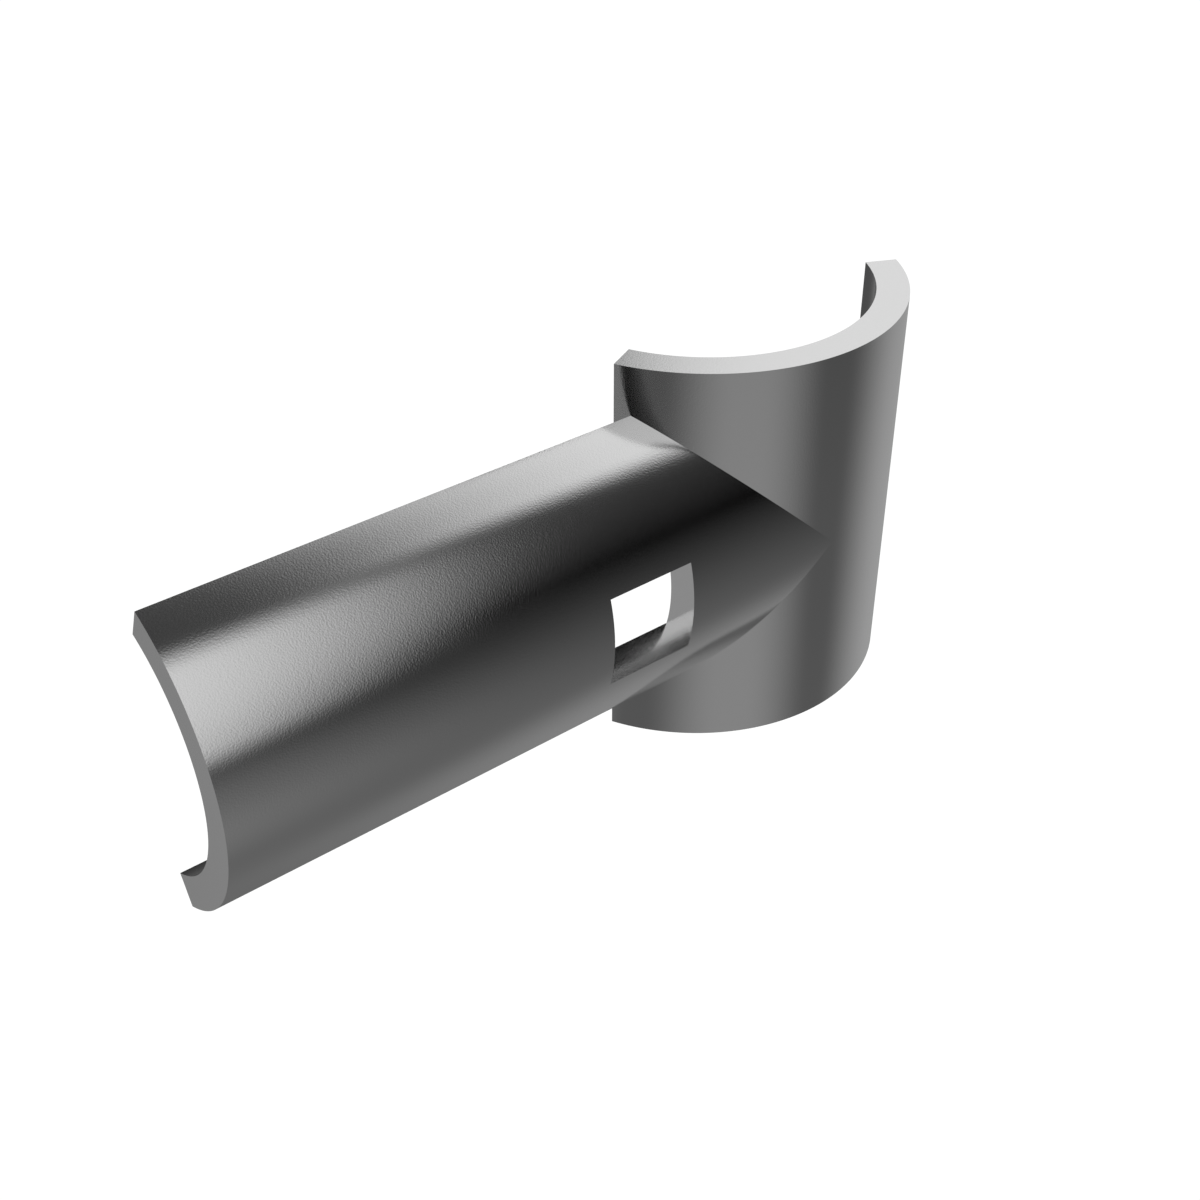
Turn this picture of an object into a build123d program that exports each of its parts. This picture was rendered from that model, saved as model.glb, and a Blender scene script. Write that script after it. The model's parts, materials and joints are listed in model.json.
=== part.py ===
from build123d import *

import math
import os

# Handrail tube clamp: one cast half-shell tee that joins a rail tube to an upright post.
#
# The origin is on the rail tube's axis, abreast of the post tube's axis. +Z runs up along
# the post, the rail leaves along -X, and both shells bulge to the front, which is -Y.
# The back is open, so both tubes are laid in from behind.

# Driving dimensions, in millimetres and degrees
post_bore_d = 42.4  # bore of the upright shell, for a 42.4 mm post tube
rail_bore_d = 34.7  # bore of the rail shell
wall = 4.0  # thickness of both shells
post_height = 50.8  # length of the upright shell along the post
post_wrap_angle = 128.0  # how far round the post tube the upright shell goes
rail_wrap_angle = 130.0  # how far round the rail tube the rail shell goes
rail_reach = 82.0  # from the post's axis to the rail shell's free end
slot_setback = 22.25  # from the post's axis to the near end of the fastener slot
slot_length = 11.6  # the slot's length along the rail
slot_width = 11.6  # the slot's width across its mouth, on the outside of the shell

# Sizes that follow from them
post_bore_r = post_bore_d / 2
rail_bore_r = rail_bore_d / 2
post_outer_r = post_bore_r + wall
rail_outer_r = rail_bore_r + wall
post_setback = post_outer_r - rail_outer_r  # puts the fronts of both shells flush
slot_angle = 2 * math.degrees(math.asin(slot_width / 2 / rail_outer_r))

# On both working planes the local X axis points to the front, the way the shells bulge
front = (0, -1, 0)
post_plane = Plane(origin=(0, post_setback, 0), x_dir=front, z_dir=(0, 0, 1))
rail_plane = Plane(origin=(0, 0, 0), x_dir=front, z_dir=(-1, 0, 0))


def ring_sector(inner_r, outer_r, wrap_angle):
    """Returns the sketch of a ring's sector about the origin, facing local X, with radial ends."""
    with BuildSketch() as sector:
        with BuildLine():
            outer_arc = CenterArc((0, 0), outer_r, -wrap_angle / 2, wrap_angle)
            inner_arc = CenterArc((0, 0), inner_r, -wrap_angle / 2, wrap_angle)
            Line(outer_arc @ 0, inner_arc @ 0)
            Line(outer_arc @ 1, inner_arc @ 1)
        make_face()
    return sector.sketch


with BuildPart() as clamp_shell:
    # Upright shell
    with BuildSketch(post_plane):
        add(ring_sector(post_bore_r, post_outer_r, post_wrap_angle))
    extrude(amount=post_height / 2, both=True)

    # Rail shell, run in as far as the post's axis so that it meets the upright shell all along
    with BuildSketch(rail_plane):
        add(ring_sector(rail_bore_r, rail_outer_r, rail_wrap_angle))
    extrude(amount=rail_reach)

    # Post bore, cut well past both ends: it trims the rail shell to the upright's inner wall
    with BuildSketch(post_plane):
        Circle(post_bore_r)
    extrude(amount=post_height, both=True, mode=Mode.SUBTRACT)

    # Rail bore: it runs on through the upright shell, so the two bores open into each other
    with BuildSketch(rail_plane):
        Circle(rail_bore_r)
    extrude(amount=rail_reach, mode=Mode.SUBTRACT)

    # Fastener slot in the front of the rail shell, with radial long walls and square ends
    with BuildSketch(rail_plane.offset(slot_setback)):
        add(ring_sector(rail_bore_r - wall, rail_outer_r + wall, slot_angle))
    extrude(amount=slot_length, mode=Mode.SUBTRACT)

os.makedirs("parts", exist_ok=True)
clamp_shell.part.label = "clamp_shell"
export_step(clamp_shell.part, "parts/clamp_shell.step")
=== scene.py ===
"""Looks of the handrail tube clamp: one cast half-shell tee in satin steel, in a plain studio."""

import json
import logging
import math
from dataclasses import dataclass, field
from enum import Enum

import bpy
from mathutils import Euler, Matrix, Vector


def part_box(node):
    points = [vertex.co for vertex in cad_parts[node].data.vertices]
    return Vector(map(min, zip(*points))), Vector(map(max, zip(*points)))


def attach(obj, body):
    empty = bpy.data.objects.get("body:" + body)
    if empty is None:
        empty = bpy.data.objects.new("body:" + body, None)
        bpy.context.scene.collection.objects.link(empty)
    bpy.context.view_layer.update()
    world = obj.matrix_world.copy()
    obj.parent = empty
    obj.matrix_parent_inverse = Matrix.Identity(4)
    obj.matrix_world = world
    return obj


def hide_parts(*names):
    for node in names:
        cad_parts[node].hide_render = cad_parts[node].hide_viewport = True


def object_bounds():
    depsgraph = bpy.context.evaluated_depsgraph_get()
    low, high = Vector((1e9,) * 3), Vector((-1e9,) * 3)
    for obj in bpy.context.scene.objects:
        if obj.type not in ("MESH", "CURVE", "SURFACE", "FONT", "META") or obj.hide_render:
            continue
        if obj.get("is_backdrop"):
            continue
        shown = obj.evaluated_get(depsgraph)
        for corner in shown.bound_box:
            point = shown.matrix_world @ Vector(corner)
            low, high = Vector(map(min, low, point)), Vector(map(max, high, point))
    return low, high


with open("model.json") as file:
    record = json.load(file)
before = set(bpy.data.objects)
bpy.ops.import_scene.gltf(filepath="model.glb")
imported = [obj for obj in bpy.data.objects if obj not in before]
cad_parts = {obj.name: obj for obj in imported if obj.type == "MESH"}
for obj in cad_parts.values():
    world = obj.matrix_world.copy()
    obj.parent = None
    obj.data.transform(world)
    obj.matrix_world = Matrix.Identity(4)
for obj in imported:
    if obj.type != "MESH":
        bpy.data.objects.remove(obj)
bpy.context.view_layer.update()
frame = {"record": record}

LOG = logging.getLogger("clamp_looks")
MM = 0.001


def linear_colour(sheet_hex: str) -> tuple[float, float, float, float]:
    """Turns an sRGB hex colour into the linear RGBA that a shader wants.

    Args:
        sheet_hex: The colour as "#RRGGBB".

    Returns:
        Linear red, green, blue and an alpha of one.
    """
    channels = [int(sheet_hex[i : i + 2], 16) / 255 for i in (1, 3, 5)]
    # The sRGB curve, which is straight near black
    linear = [c / 12.92 if c <= 0.04045 else ((c + 0.055) / 1.055) ** 2.4 for c in channels]
    return (*linear, 1.0)


def direction(azimuth: float, elevation: float) -> Vector:
    """Gives the unit vector towards a bearing round the clamp.

    Args:
        azimuth: Degrees from +Y towards +X.
        elevation: Degrees above the horizon.

    Returns:
        The unit vector.
    """
    bearing = math.radians(azimuth)
    height = math.radians(elevation)
    level = math.cos(height)
    return Vector((math.sin(bearing) * level, math.cos(bearing) * level, math.sin(height)))


def add_node(
    tree: bpy.types.NodeTree,
    kind: str,
    links: dict[str | int, object] | None = None,
    **settings: object,
) -> bpy.types.Node:
    """Adds one node with its settings and its links.

    Args:
        tree: The node tree that gets the node.
        kind: The node's type, such as "ShaderNodeBump".
        links: Input names or numbers, each with the output socket or the plain value that it gets.
        settings: Attributes to set on the node itself.

    Returns:
        The new node.
    """
    node = tree.nodes.new(kind)
    for name, value in settings.items():
        setattr(node, name, value)
    for name, source in (links or {}).items():
        if isinstance(source, bpy.types.NodeSocket):
            tree.links.new(source, node.inputs[name])
        else:
            node.inputs[name].default_value = source
    return node


class Grit(Enum):
    """How far apart the bumps of each layer of the skin are, in millimetres."""

    BLAST = 0.19
    SWELL = 1.6
    CLOUD = 14.0


@dataclass(frozen=True)
class BlastedCastSteel:
    """Cast stainless steel, blasted and left satin.

    The blasting leaves a fine, even grain that shows where a reflection turns from light to dark.
    It spreads each reflection a little, so the shell has soft bands and no sharp mirror image.
    Both reliefs are in millimetres.
    """

    colour: str = "#DDDDDD"
    roughness_smooth: float = 0.12
    roughness_rough: float = 0.15
    blast_relief: float = 0.004
    swell_relief: float = 0.001

    def build(self) -> bpy.types.Material:
        """Makes the finish.

        Returns:
            The new material.
        """
        material = bpy.data.materials.new("blasted_satin_cast_steel")
        material.use_nodes = True
        tree = material.node_tree
        tree.nodes.clear()
        place = add_node(tree, "ShaderNodeTexCoord").outputs["Object"]
        roughness = add_node(
            tree,
            "ShaderNodeMapRange",
            {
                "Value": self._grain(tree, place, Grit.CLOUD, detail=3.0),
                "To Min": self.roughness_smooth,
                "To Max": self.roughness_rough,
            },
        )
        swell = add_node(
            tree,
            "ShaderNodeBump",
            {
                "Height": self._grain(tree, place, Grit.SWELL, detail=1.0),
                "Distance": self.swell_relief * MM,
            },
        )
        blast = add_node(
            tree,
            "ShaderNodeBump",
            {
                "Height": self._grain(tree, place, Grit.BLAST, detail=0.0),
                "Distance": self.blast_relief * MM,
                "Normal": swell.outputs["Normal"],
            },
        )
        shader = add_node(
            tree,
            "ShaderNodeBsdfPrincipled",
            {
                "Base Color": linear_colour(self.colour),
                "Metallic": 1.0,
                "Roughness": roughness.outputs["Result"],
                "Normal": blast.outputs["Normal"],
            },
        )
        add_node(tree, "ShaderNodeOutputMaterial", {"Surface": shader.outputs["BSDF"]})
        return material

    @staticmethod
    def _grain(
        tree: bpy.types.NodeTree, place: bpy.types.NodeSocket, grit: Grit, detail: float
    ) -> bpy.types.NodeSocket:
        """Adds one layer of noise whose bumps are as far apart as the grit says.

        Args:
            tree: The material's node tree.
            place: The coordinates that the noise follows, in metres.
            grit: The layer's grit.
            detail: How many finer octaves the noise holds.

        Returns:
            The output socket with the noise, from 0 to 1.
        """
        noise = add_node(
            tree, "ShaderNodeTexNoise", {"Vector": place, "Scale": 1 / (grit.value * MM), "Detail": detail}
        )
        return noise.outputs["Fac"]


@dataclass(frozen=True)
class ShellSizes:
    """The shell's sizes, in metres and radians, with the origin on the rail tube's axis."""

    post_bore: float
    post_wrap: float
    bottom: float
    top: float
    rail_bore: float
    rail_reach: float
    wall: float
    slot_middle: float
    # The frame doesn't give these three
    rail_wrap: float = math.radians(130.0)
    slot_length: float = 11.6 * MM
    slot_width: float = 11.6 * MM

    @classmethod
    def from_frame(cls, node: str) -> "ShellSizes":
        """Reads the sizes that the frame gives.

        Args:
            node: The shell's node in the frame.

        Returns:
            The sizes.
        """
        mounts = {mount["name"]: mount for mount in frame["record"]["mounts"]}
        low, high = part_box(node)
        rail_bore = mounts["rail_clamp"]["dims"]["r_mm"] * MM
        post_bore = mounts["post_seat"]["dims"]["r_mm"] * MM
        wall = -low.y - rail_bore
        return cls(
            post_bore=post_bore,
            post_wrap=2 * math.asin(high.x / (post_bore + wall)),
            bottom=low.z,
            top=high.z,
            rail_bore=rail_bore,
            rail_reach=mounts["rail_clamp"]["dims"]["length_mm"] * MM,
            wall=wall,
            slot_middle=-mounts["fastener_slot"]["pos_m"][0],
        )

    @property
    def post_setback(self) -> float:
        """How far behind the rail's axis the post's axis lies, so that both fronts are flush."""
        return self.post_bore - self.rail_bore

    def inputs(self) -> dict[str, float]:
        """Gives the sizes under the names that the shell's tree uses for them.

        Returns:
            Each input's name, with its value.
        """
        return {
            "Post Bore": self.post_bore,
            "Post Wrap": self.post_wrap,
            "Post Setback": self.post_setback,
            "Bottom": self.bottom,
            "Top": self.top,
            "Rail Bore": self.rail_bore,
            "Rail Wrap": self.rail_wrap,
            "Rail Start": 0.0,
            "Rail Reach": self.rail_reach,
            "Wall": self.wall,
            "Slot Wrap": 2 * math.asin(self.slot_width / 2 / (self.rail_bore + self.wall)),
            "Slot Near": self.slot_middle - self.slot_length / 2,
            "Slot Far": self.slot_middle + self.slot_length / 2,
        }


class ShellForm:
    """The Geometry Nodes tree that casts the shell: two bent blanks, less two bores and a slot."""

    facets_a_turn: int = 360
    merge_distance: float = 0.002 * MM
    # Local Z lies along the rail, towards its free end, and the front stays the front
    along_rail: tuple[float, float, float] = (0.0, -math.pi / 2, 0.0)

    def __init__(self, inputs: dict[str, float], skin: bpy.types.Material) -> None:
        """Builds the tree.

        Args:
            inputs: The tree's inputs, in metres and radians.
            skin: The material that the tree sets.
        """
        self.inputs = inputs
        self.tree = bpy.data.node_groups.new("cast_shell_form", "GeometryNodeTree")
        self.tree.interface.new_socket("Shell", in_out="OUTPUT", socket_type="NodeSocketGeometry")
        for name in inputs:
            self.tree.interface.new_socket(name, in_out="INPUT", socket_type="NodeSocketFloat")
        self.sizes = add_node(self.tree, "NodeGroupInput").outputs
        self.blank_form = self._blank_form()
        form = self._tee_blank()
        for cutter in (self._post_bore(), self._rail_bore(), self._slot()):
            cut = add_node(
                self.tree,
                "GeometryNodeMeshBoolean",
                {"Mesh 1": form, "Mesh 2": cutter},
                operation="DIFFERENCE",
                solver="EXACT",
            )
            form = cut.outputs["Mesh"]
        clean = add_node(
            self.tree, "GeometryNodeMergeByDistance", {"Geometry": form, "Distance": self.merge_distance}
        )
        whole = add_node(self.tree, "GeometryNodeRealizeInstances", {"Geometry": clean.outputs["Geometry"]})
        dressed = add_node(
            self.tree, "GeometryNodeSetMaterial", {"Geometry": whole.outputs["Geometry"], "Material": skin}
        )
        add_node(self.tree, "NodeGroupOutput", {"Shell": dressed.outputs["Geometry"]})

    def apply(self, piece: bpy.types.Object) -> None:
        """Puts the tree on a piece, with its inputs set.

        Args:
            piece: The piece whose mesh the tree makes.
        """
        modifier = piece.modifiers.new("cast_shell_form", "NODES")
        modifier.node_group = self.tree
        for socket in self.tree.interface.items_tree:
            if socket.in_out == "INPUT":
                modifier[socket.identifier] = self.inputs[socket.name]

    def _blank_form(self) -> bpy.types.NodeTree:
        """Builds the tree of one blank: a bar bent round local Z, with its middle at the front.

        Returns:
            The tree, whose inputs are the blank's two radii, its wrap, its two ends and its facets.
        """
        tree = bpy.data.node_groups.new("bent_blank", "GeometryNodeTree")
        tree.interface.new_socket("Blank", in_out="OUTPUT", socket_type="NodeSocketGeometry")
        for name in ("Inner Radius", "Outer Radius", "Wrap", "Start", "End"):
            tree.interface.new_socket(name, in_out="INPUT", socket_type="NodeSocketFloat")
        tree.interface.new_socket("Columns", in_out="INPUT", socket_type="NodeSocketInt")
        sizes = add_node(tree, "NodeGroupInput").outputs
        bar = add_node(
            tree, "GeometryNodeMeshCube", {"Vertices X": sizes["Columns"], "Vertices Y": 2, "Vertices Z": 2}
        )
        place = add_node(tree, "GeometryNodeInputPosition").outputs["Position"]
        axes = add_node(tree, "ShaderNodeSeparateXYZ", {"Vector": place}).outputs
        angle = add_node(tree, "ShaderNodeMath", {0: axes["X"], 1: sizes["Wrap"]}, operation="MULTIPLY")
        bar_span = {"From Min": -0.5, "From Max": 0.5}
        radius = add_node(
            tree,
            "ShaderNodeMapRange",
            {
                "Value": axes["Y"],
                **bar_span,
                "To Min": sizes["Outer Radius"],
                "To Max": sizes["Inner Radius"],
            },
        )
        height = add_node(
            tree,
            "ShaderNodeMapRange",
            {"Value": axes["Z"], **bar_span, "To Min": sizes["Start"], "To Max": sizes["End"]},
        )
        forward = add_node(
            tree, "ShaderNodeMath", {0: radius.outputs["Result"], 1: -1.0}, operation="MULTIPLY"
        )
        straight = add_node(
            tree, "ShaderNodeCombineXYZ", {"Y": forward.outputs["Value"], "Z": height.outputs["Result"]}
        )
        bent = add_node(
            tree,
            "ShaderNodeVectorRotate",
            {"Vector": straight.outputs["Vector"], "Angle": angle.outputs["Value"]},
            rotation_type="Z_AXIS",
        )
        blank = add_node(
            tree,
            "GeometryNodeSetPosition",
            {"Geometry": bar.outputs["Mesh"], "Position": bent.outputs["Vector"]},
        )
        add_node(tree, "NodeGroupOutput", {"Blank": blank.outputs["Geometry"]})
        return tree

    def _from_bore(self, bore: str, walls: float) -> bpy.types.NodeSocket:
        """Gives the radius that lies some walls' thickness outside a bore.

        Args:
            bore: The input with the bore's radius.
            walls: How many walls further out, or further in if it is negative.

        Returns:
            The socket with the radius.
        """
        radius = add_node(
            self.tree,
            "ShaderNodeMath",
            {0: self.sizes["Wall"], 1: walls, 2: self.sizes[bore]},
            operation="MULTIPLY_ADD",
        )
        return radius.outputs["Value"]

    def _blank(
        self, bore: str, outer_walls: float, wrap: str, start: str, end: str
    ) -> bpy.types.NodeSocket:
        """Adds one bent blank, which reaches a wall's thickness into its bore.

        Args:
            bore: The input with the bore's radius.
            outer_walls: How many walls outside the bore the blank ends.
            wrap: The input with the angle that it goes round.
            start: The input with its lower end.
            end: The input with its upper end.

        Returns:
            The blank's mesh.
        """
        # An even number of facets puts a corner at the very front
        facets = 2 * round(self.inputs[wrap] / math.tau * self.facets_a_turn / 2)
        blank = add_node(
            self.tree,
            "GeometryNodeGroup",
            {
                "Inner Radius": self._from_bore(bore, -1.0),
                "Outer Radius": self._from_bore(bore, outer_walls),
                "Wrap": self.sizes[wrap],
                "Start": self.sizes[start],
                "End": self.sizes[end],
                "Columns": facets + 1,
            },
            node_tree=self.blank_form,
        )
        return blank.outputs["Blank"]

    def _post_place(self) -> bpy.types.NodeSocket:
        """Gives the socket with the place of the post's axis."""
        place = add_node(self.tree, "ShaderNodeCombineXYZ", {"Y": self.sizes["Post Setback"]})
        return place.outputs["Vector"]

    def _tee_blank(self) -> bpy.types.NodeSocket:
        """Joins the upright's blank and the rail's, with their fronts flush.

        Returns:
            The mesh of the two blanks as one.
        """
        upright = add_node(
            self.tree,
            "GeometryNodeTransform",
            {
                "Geometry": self._blank("Post Bore", 1.0, "Post Wrap", "Bottom", "Top"),
                "Translation": self._post_place(),
            },
        )
        rail = add_node(
            self.tree,
            "GeometryNodeTransform",
            {
                "Geometry": self._blank("Rail Bore", 1.0, "Rail Wrap", "Rail Start", "Rail Reach"),
                "Rotation": self.along_rail,
            },
        )
        tee = add_node(
            self.tree,
            "GeometryNodeMeshBoolean",
            {"Mesh 2": upright.outputs["Geometry"]},
            operation="UNION",
            solver="EXACT",
        )
        self.tree.links.new(rail.outputs["Geometry"], tee.inputs["Mesh 2"])
        return tee.outputs["Mesh"]

    def _bore(self, radius: str, depth: bpy.types.NodeSocket) -> bpy.types.NodeSocket:
        """Adds the round bar that cuts a bore.

        Args:
            radius: The input with the bore's radius.
            depth: The bar's length.

        Returns:
            The bar's mesh, centred, along local Z.
        """
        bar = add_node(
            self.tree,
            "GeometryNodeMeshCylinder",
            {"Vertices": self.facets_a_turn, "Radius": self.sizes[radius], "Depth": depth},
        )
        return bar.outputs["Mesh"]

    def _post_bore(self) -> bpy.types.NodeSocket:
        """Adds the post's bore, cut well past both ends of the upright.

        Returns:
            The mesh that cuts the bore.
        """
        height = add_node(
            self.tree, "ShaderNodeMath", {0: self.sizes["Top"], 1: self.sizes["Bottom"]}, operation="SUBTRACT"
        )
        depth = add_node(
            self.tree, "ShaderNodeMath", {0: height.outputs["Value"], 1: 2.0}, operation="MULTIPLY"
        )
        bore = add_node(
            self.tree,
            "GeometryNodeTransform",
            {
                "Geometry": self._bore("Post Bore", depth.outputs["Value"]),
                "Translation": self._post_place(),
            },
        )
        return bore.outputs["Geometry"]

    def _rail_bore(self) -> bpy.types.NodeSocket:
        """Adds the rail's bore, from the post's axis to just past the free end.

        Returns:
            The mesh that cuts the bore.
        """
        depth = add_node(
            self.tree, "ShaderNodeMath", {0: self.sizes["Rail Reach"], 1: self.sizes["Wall"]}, operation="ADD"
        )
        middle = add_node(
            self.tree, "ShaderNodeMath", {0: depth.outputs["Value"], 1: -0.5}, operation="MULTIPLY"
        )
        place = add_node(self.tree, "ShaderNodeCombineXYZ", {"X": middle.outputs["Value"]})
        bore = add_node(
            self.tree,
            "GeometryNodeTransform",
            {
                "Geometry": self._bore("Rail Bore", depth.outputs["Value"]),
                "Translation": place.outputs["Vector"],
                "Rotation": self.along_rail,
            },
        )
        return bore.outputs["Geometry"]

    def _slot(self) -> bpy.types.NodeSocket:
        """Adds the fastener slot, with radial long walls, cut past both faces of the wall.

        Returns:
            The mesh that cuts the slot.
        """
        slot = add_node(
            self.tree,
            "GeometryNodeTransform",
            {
                "Geometry": self._blank("Rail Bore", 2.0, "Slot Wrap", "Slot Near", "Slot Far"),
                "Rotation": self.along_rail,
            },
        )
        return slot.outputs["Geometry"]


@dataclass(frozen=True)
class RoundWall:
    """One round wall of the shell, which gives each point on it its true normal."""

    centre: Vector
    axis: Vector
    radius: float
    # How far a facet's middle may lie from the wall, and how far its normal may lean from the wall's
    reach: float = 0.005 * MM
    lean: float = math.radians(1.0)

    def outward(self, point: Vector) -> Vector:
        """Gives the unit vector straight out from the wall's axis at a point."""
        across = point - self.centre
        return (across - across.dot(self.axis) * self.axis).normalized()

    def holds(self, middle: Vector, normal: Vector) -> bool:
        """Tells whether a facet lies on this wall.

        Args:
            middle: The facet's middle.
            normal: The facet's flat normal.

        Returns:
            True if it does.
        """
        outward = self.outward(middle)
        distance = (middle - self.centre).dot(outward)
        return abs(distance - self.radius) < self.reach and abs(outward.dot(normal)) > math.cos(self.lean)


@dataclass
class ClampShell:
    """The clamp itself: the cast half-shell tee, as fine as its reflections need."""

    node_name: str = "clamp_shell"
    body_name: str = "root"
    slot_name: str = "satin_cast_steel"
    finish: BlastedCastSteel = field(default_factory=BlastedCastSteel)

    def build(self) -> bpy.types.Object:
        """Casts the shell, gives it its skin and sets it on its body.

        Returns:
            The shell.
        """
        sizes = ShellSizes.from_frame(self.node_name)
        blank = bpy.data.objects.new("shell_blank", bpy.data.meshes.new("shell_blank"))
        bpy.context.scene.collection.objects.link(blank)
        ShellForm(sizes.inputs(), self.finish.build()).apply(blank)
        shell = self._plain(blank, "cast_shell")
        self._round_normals(shell.data, sizes)
        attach(shell, self.body_name)
        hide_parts(self.node_name)
        return shell

    @staticmethod
    def _plain(source: bpy.types.Object, name: str) -> bpy.types.Object:
        """Turns what a tree makes into a plain mesh, and removes the piece with the tree.

        Args:
            source: The piece with the tree on it.
            name: The new piece's name.

        Returns:
            The new piece.
        """
        graph = bpy.context.evaluated_depsgraph_get()
        mesh = bpy.data.meshes.new_from_object(source.evaluated_get(graph), depsgraph=graph)
        mesh.name = name
        # The booleans leave an empty material slot ahead of the skin's
        while mesh.materials[0] is None:
            mesh.materials.pop(index=0)
        bpy.data.objects.remove(source)
        piece = bpy.data.objects.new(name, mesh)
        bpy.context.scene.collection.objects.link(piece)
        return piece

    @staticmethod
    def _round_normals(mesh: bpy.types.Mesh, sizes: ShellSizes) -> None:
        """Gives every facet of a round wall the wall's own normals, and leaves flat faces flat.

        Args:
            mesh: The shell's mesh.
            sizes: The shell's sizes.
        """
        post = Vector((0.0, sizes.post_setback, 0.0))
        rail = Vector((0.0, 0.0, 0.0))
        upward = Vector((0.0, 0.0, 1.0))
        sideways = Vector((1.0, 0.0, 0.0))
        walls = [
            RoundWall(centre, axis, bore + thickness)
            for centre, axis, bore in ((post, upward, sizes.post_bore), (rail, sideways, sizes.rail_bore))
            for thickness in (0.0, sizes.wall)
        ]
        normals = [Vector()] * len(mesh.loops)
        for facet in mesh.polygons:
            wall = next((wall for wall in walls if wall.holds(facet.center, facet.normal)), None)
            for corner in facet.loop_indices:
                if wall is None:
                    normals[corner] = facet.normal.copy()
                else:
                    outward = wall.outward(mesh.vertices[mesh.loops[corner].vertex_index].co)
                    normals[corner] = outward if outward.dot(facet.normal) > 0 else -outward
        mesh.shade_smooth()
        mesh.normals_split_custom_set(normals)


@dataclass(frozen=True)
class Softbox:
    """One large soft light, given as the window that it fills when seen from the clamp.

    The bearing, the half sizes and the roll are in degrees. Each softness is the share of the way
    from the light's middle to its edge over which it fades. The distance is in metres.
    """

    name: str
    azimuth: float
    elevation: float
    half_width: float
    half_height: float
    roll: float
    radiance: float
    side_softness: float
    end_softness: float
    distance: float = 4.0

    def build(self) -> None:
        """Hangs the light, facing the clamp."""
        away = direction(self.azimuth, self.elevation)
        across = away.cross(Vector((0.0, 0.0, 1.0))).normalized()
        upward = across.cross(away)
        turn = math.radians(self.roll)
        local_x = -(math.cos(turn) * across + math.sin(turn) * upward)
        local_y = math.cos(turn) * upward - math.sin(turn) * across
        width = 2 * self.distance * math.tan(math.radians(self.half_width))
        height = 2 * self.distance * math.tan(math.radians(self.half_height))
        light = bpy.data.lights.new(self.name, "AREA")
        light.shape = "RECTANGLE"
        light.size = width
        light.size_y = height
        # Each square metre of such a light gives pi watts for every unit of radiance
        light.energy = self.radiance * width * height * math.pi
        self._soften(light)
        lamp = bpy.data.objects.new(self.name, light)
        turned = Matrix((local_x, local_y, away)).transposed().to_4x4()
        lamp.matrix_world = Matrix.Translation(away * self.distance) @ turned
        lamp.visible_camera = False
        bpy.context.scene.collection.objects.link(lamp)

    def _soften(self, light: bpy.types.Light) -> None:
        """Fades the light out towards its edges, as a real softbox does.

        Args:
            light: The light that fades.
        """
        light.use_nodes = True
        tree = light.node_tree
        tree.nodes.clear()
        across = add_node(tree, "ShaderNodeNewGeometry").outputs["Parametric"]
        sides = add_node(tree, "ShaderNodeSeparateXYZ", {"Vector": across})
        softness = {"X": self.side_softness, "Y": self.end_softness}
        fades = [self._fade(tree, sides.outputs[axis], share) for axis, share in softness.items()]
        both = add_node(tree, "ShaderNodeMath", {0: fades[0], 1: fades[1]}, operation="MULTIPLY")
        glow = add_node(tree, "ShaderNodeEmission", {"Strength": both.outputs["Value"]})
        add_node(tree, "ShaderNodeOutputLight", {"Surface": glow.outputs["Emission"]})

    @staticmethod
    def _fade(
        tree: bpy.types.NodeTree, place: bpy.types.NodeSocket, softness: float
    ) -> bpy.types.NodeSocket:
        """Gives full light in the middle of one direction and none at its two edges.

        Args:
            tree: The light's node tree.
            place: Where the point lies, from 0 at one edge to 1 at the other.
            softness: The share of the way from the middle to an edge over which the light fades.

        Returns:
            The output socket with the share of light.
        """
        middle = 0.5
        from_middle = add_node(tree, "ShaderNodeMath", {0: place, 1: middle}, operation="SUBTRACT")
        off_middle = add_node(
            tree, "ShaderNodeMath", {0: from_middle.outputs["Value"]}, operation="ABSOLUTE"
        )
        fade = add_node(
            tree,
            "ShaderNodeMapRange",
            {
                "Value": off_middle.outputs["Value"],
                "From Min": middle * (1 - softness),
                "From Max": middle,
                "To Min": 1.0,
                "To Max": 0.0,
            },
            interpolation_type="SMOOTHSTEP",
        )
        return fade.outputs["Result"]


@dataclass(frozen=True)
class Flag:
    """A black card that trims what the clamp mirrors, given by the bearings of its corners.

    Each corner is an azimuth and an elevation in degrees, as seen from the clamp. The distance is
    in metres, and less than a softbox's, so the card hangs in front of the light that it trims.
    """

    name: str
    corners: tuple[tuple[float, float], ...]
    colour: str = "#080808"
    distance: float = 3.5

    def build(self) -> None:
        """Hangs the card."""
        mesh = bpy.data.meshes.new(self.name)
        places = [direction(*corner) * self.distance for corner in self.corners]
        mesh.from_pydata(places, [], [tuple(range(len(places)))])
        mesh.materials.append(self._black_card())
        card = bpy.data.objects.new(self.name, mesh)
        card.visible_camera = False
        bpy.context.scene.collection.objects.link(card)
        card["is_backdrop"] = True

    def _black_card(self) -> bpy.types.Material:
        """Makes the matt black of the card.

        Returns:
            The new material.
        """
        material = bpy.data.materials.new("matt_black_card")
        material.use_nodes = True
        tree = material.node_tree
        tree.nodes.clear()
        matt = add_node(tree, "ShaderNodeBsdfDiffuse", {"Color": linear_colour(self.colour)})
        add_node(tree, "ShaderNodeOutputMaterial", {"Surface": matt.outputs["BSDF"]})
        return material


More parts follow.
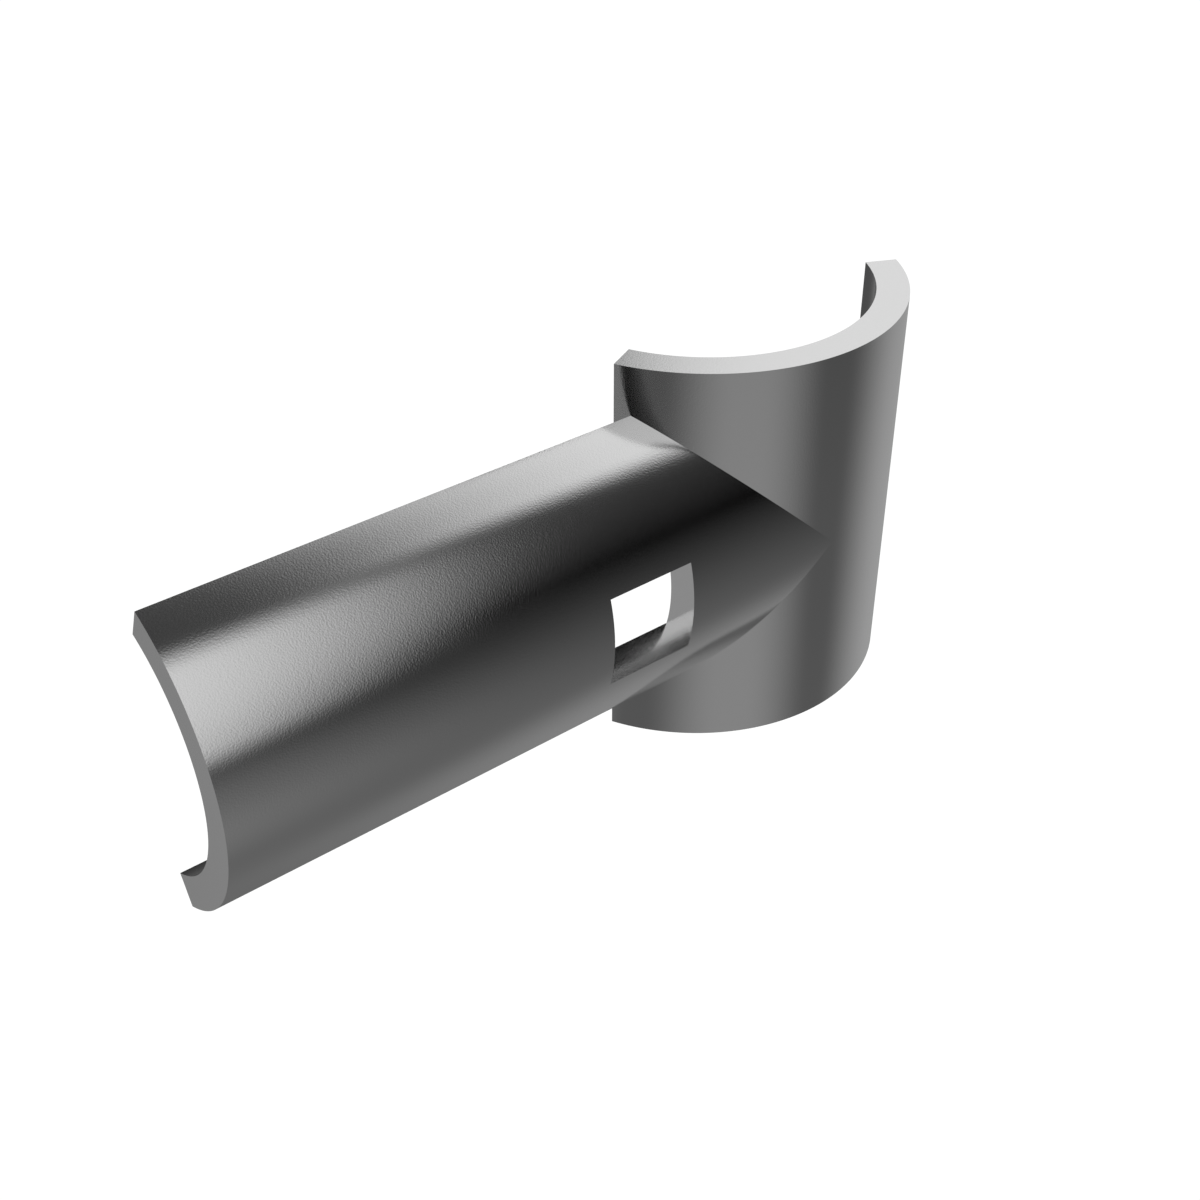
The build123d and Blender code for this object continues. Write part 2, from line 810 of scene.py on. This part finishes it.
@dataclass
class Studio:
    """The plain studio: a white floor, soft lights, black cards, a dim surround and the camera."""

    # The floor's side is in metres, and its white is a little over full, so that it shows pure white
    floor_side: float = 16.0
    white: str = "#FFFFFF"
    white_light: float = 1.05

    # The surround's light straight down and straight up, and the rise, as the sine of the elevation,
    # at which it is dark
    low_light: float = 0.214
    high_light: float = 0.072
    dark_rise: float = 0.2

    # The camera's angles are in degrees and its place is in millimetres, as are the lens and the sensor
    camera_azimuth: float = 38.8214
    camera_pitch: float = 35.0665
    camera_place: tuple[float, float, float] = (-127.68, -135.29, 109.81)
    lens: float = 50.0
    sensor: float = 36.0
    nearest_seen: float = 10.0

    # Their bearings, sizes and strengths give the bands of light and dark along the steel
    softboxes: list[Softbox] = field(
        default_factory=lambda: [
            Softbox(
                "front_softbox",
                azimuth=190.6,
                elevation=32.6,
                half_width=38.1,
                half_height=39.8,
                roll=-1.0,
                radiance=0.802,
                side_softness=0.47,
                end_softness=0.49,
            ),
            Softbox(
                "side_softbox",
                azimuth=78.5,
                elevation=27.9,
                half_width=40.2,
                half_height=45.2,
                roll=1.8,
                radiance=0.917,
                side_softness=0.34,
                end_softness=0.48,
            ),
            Softbox(
                "back_softbox",
                azimuth=-43.2,
                elevation=29.8,
                half_width=39.9,
                half_height=26.0,
                roll=11.8,
                radiance=1.128,
                side_softness=0.04,
                end_softness=0.03,
            ),
            Softbox(
                "low_front_fill",
                azimuth=193.9,
                elevation=-29.0,
                half_width=41.4,
                half_height=44.8,
                roll=2.1,
                radiance=0.193,
                side_softness=0.88,
                end_softness=0.86,
            ),
            Softbox(
                "low_side_fill",
                azimuth=72.6,
                elevation=-26.4,
                half_width=45.5,
                half_height=49.9,
                roll=50.1,
                radiance=0.267,
                side_softness=0.95,
                end_softness=0.89,
            ),
            Softbox(
                "low_back_fill",
                azimuth=-46.2,
                elevation=-23.3,
                half_width=43.3,
                half_height=43.4,
                roll=-25.6,
                radiance=0.233,
                side_softness=0.84,
                end_softness=0.72,
            ),
        ]
    )

    # They darken what the slot's lower wall mirrors: the first by way of the rail shell's inside,
    # the second straight out past the junction
    flags: tuple[Flag, ...] = (
        Flag("slot_flag", ((20.0, -6.0), (35.0, -6.0), (38.0, 27.5), (47.5, 44.0), (22.0, 48.0))),
        Flag("junction_flag", ((57.0, 48.0), (78.0, 48.0), (82.0, 61.0), (54.0, 61.0))),
    )

    def build(self) -> None:
        """Builds the whole studio."""
        self._floor(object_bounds()[0].z)
        for softbox in self.softboxes:
            softbox.build()
        for flag in self.flags:
            flag.build()
        self._surround()
        self._camera()
        bpy.context.scene.view_settings.view_transform = "Standard"

    def _floor(self, level: float) -> None:
        """Lays the white floor under the clamp.

        The low fills shine through it, and it never shows in the steel.

        Args:
            level: The height of the clamp's lowest point, in metres.
        """
        half = self.floor_side / 2
        corners = [(-half, -half, level), (half, -half, level), (half, half, level), (-half, half, level)]
        mesh = bpy.data.meshes.new("studio_floor")
        mesh.from_pydata(corners, [], [(0, 1, 2, 3)])
        mesh.materials.append(self._floor_glow())
        floor = bpy.data.objects.new("studio_floor", mesh)
        floor.visible_glossy = False
        floor.visible_shadow = False
        bpy.context.scene.collection.objects.link(floor)
        floor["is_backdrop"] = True

    def _floor_glow(self) -> bpy.types.Material:
        """Makes the floor's evenly lit white, as on a light table, so that no shadow falls on it.

        Returns:
            The new material.
        """
        material = bpy.data.materials.new("white_light_table")
        material.use_nodes = True
        tree = material.node_tree
        tree.nodes.clear()
        glow = add_node(
            tree,
            "ShaderNodeEmission",
            {"Color": linear_colour(self.white), "Strength": self.white_light},
        )
        add_node(tree, "ShaderNodeOutputMaterial", {"Surface": glow.outputs["Emission"]})
        return material

    def _surround(self) -> None:
        """Fills the world: white where the camera looks past the floor, dim in the reflections."""
        world = bpy.data.worlds.new("studio_surround")
        world.use_nodes = True
        tree = world.node_tree
        tree.nodes.clear()
        bearing = add_node(tree, "ShaderNodeTexCoord").outputs["Generated"]
        rise = add_node(tree, "ShaderNodeSeparateXYZ", {"Vector": bearing}).outputs["Z"]
        below = add_node(
            tree,
            "ShaderNodeMapRange",
            {
                "Value": rise,
                "From Min": -1.0,
                "From Max": self.dark_rise,
                "To Min": self.low_light,
                "To Max": 0.0,
            },
        )
        above = add_node(
            tree,
            "ShaderNodeMapRange",
            {
                "Value": rise,
                "From Min": self.dark_rise,
                "From Max": 1.0,
                "To Min": 0.0,
                "To Max": self.high_light,
            },
        )
        dim = add_node(
            tree,
            "ShaderNodeMath",
            {0: below.outputs["Result"], 1: above.outputs["Result"]},
            operation="ADD",
        )
        seen = add_node(tree, "ShaderNodeLightPath").outputs["Is Camera Ray"]
        dim_light = add_node(tree, "ShaderNodeBackground", {"Strength": dim.outputs["Value"]})
        white_light = add_node(
            tree,
            "ShaderNodeBackground",
            {"Color": linear_colour(self.white), "Strength": self.white_light},
        )
        mix = add_node(
            tree,
            "ShaderNodeMixShader",
            {0: seen, 1: dim_light.outputs["Background"], 2: white_light.outputs["Background"]},
        )
        add_node(tree, "ShaderNodeOutputWorld", {"Surface": mix.outputs["Shader"]})
        bpy.context.scene.world = world

    def _camera(self) -> None:
        """Stands the camera where the photograph was taken from."""
        lens = bpy.data.cameras.new("camera")
        lens.lens = self.lens
        lens.sensor_width = self.sensor
        lens.clip_start = self.nearest_seen * MM
        camera = bpy.data.objects.new("camera", lens)
        camera.location = Vector(self.camera_place) * MM
        tilt = math.radians(90 - self.camera_pitch)
        camera.rotation_euler = Euler((tilt, 0.0, math.radians(-self.camera_azimuth)))
        bpy.context.scene.collection.objects.link(camera)
        bpy.context.scene.camera = camera


def main() -> None:
    """Casts and dresses the clamp, and builds the studio round it."""
    logging.basicConfig(level=logging.INFO, format="%(message)s")
    shell = ClampShell().build()
    LOG.info("%s: %d faces in %s", shell.name, len(shell.data.polygons), shell.data.materials[0].name)
    studio = Studio()
    studio.build()
    LOG.info("studio: %d softboxes and %d black cards", len(studio.softboxes), len(studio.flags))


if __name__ == "__main__":
    main()
